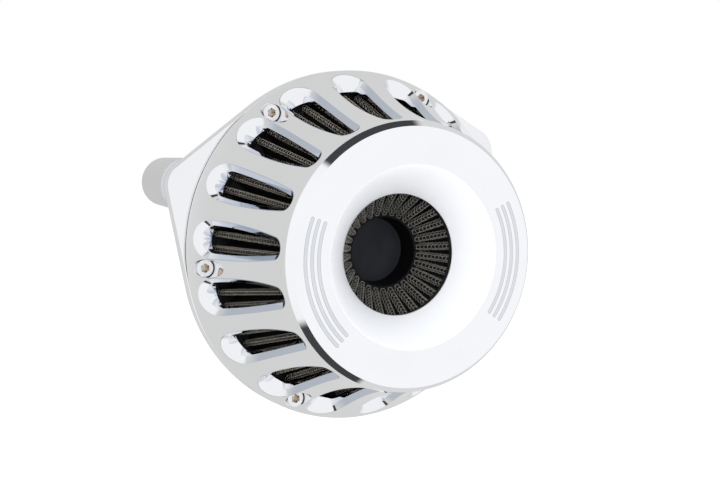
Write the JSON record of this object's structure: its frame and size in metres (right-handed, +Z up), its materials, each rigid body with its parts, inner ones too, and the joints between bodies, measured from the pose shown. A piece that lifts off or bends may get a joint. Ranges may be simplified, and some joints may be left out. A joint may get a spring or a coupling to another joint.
{
  "type": "motorcycle air filter",
  "caption": "Round motorcycle air filter: tapered slotted chrome cage, bell-mouthed face ring and pleated cone element on an eared backing plate with breather standoffs.",
  "frame": {"origin": "centre of the intake bore on the backing plate's back face", "axes": "+Y along the intake bore towards the engine, so the face looks along -Y; +Z up, square to the line of the two standoffs to within a degree; +X to the right seen from the front"},
  "size_m": [0.1867, 0.1143, 0.18],
  "materials": {
    "chrome": "mirror-bright chrome plate over machined aluminium, softened edges",
    "chrome_face": "bright polished chrome plate, smooth face and bell mouth",
    "satin_aluminium": "satin machined aluminium",
    "cast_aluminium": "fine-turned aluminium",
    "steel": "zinc-plated steel",
    "bright_steel": "bright plated steel",
    "gasket": "matt fibre gasket",
    "rubber": "moulded black rubber",
    "cap_rubber": "smooth satin black rubber",
    "screen": "epoxy-coated woven wire, dark bronze-grey",
    "media": "black oiled cotton gauze",
    "core": "expanded aluminium sheet"
  },
  "bodies": {
    "base": {"back_plate": "chrome", "intake_horn": "cast_aluminium", "throttle_gasket": "gasket", "throttle_screws": "steel", "breather_standoff_left": "satin_aluminium", "breather_standoff_right": "satin_aluminium", "standoff_oring_left": "rubber", "standoff_oring_right": "rubber", "cage_gasket": "rubber"},
    "cover": {"outer_cage": "chrome", "face_ring": "chrome_face", "face_screws": "steel"},
    "screws": {"cover_screws": "bright_steel"},
    "filter": {"filter_base_ring": "rubber", "outer_screen": "screen", "outer_pleats": "media", "outer_core": "core", "filter_front_ring": "rubber", "inner_screen": "screen", "inner_pleats": "media", "inner_core": "core", "end_cap": "cap_rubber"}
  },
  "joints": [
    {"name": "cover_slide", "type": "slide", "parent": "base", "child": "cover", "axis": [0, -1, 0], "range_m": [0, 0.15]},
    {"name": "filter_slide", "type": "slide", "parent": "base", "child": "filter", "axis": [0, -1, 0], "range_m": [0, 0.075]},
    {"name": "screws_slide", "type": "slide", "parent": "base", "child": "screws", "axis": [0, -1, 0], "range_m": [0, 0.21]}
  ],
  "couplings": [
    {"joint": "filter_slide", "follows": "cover_slide", "ratio": 0.5},
    {"joint": "screws_slide", "follows": "cover_slide", "ratio": 1.4}
  ]
}
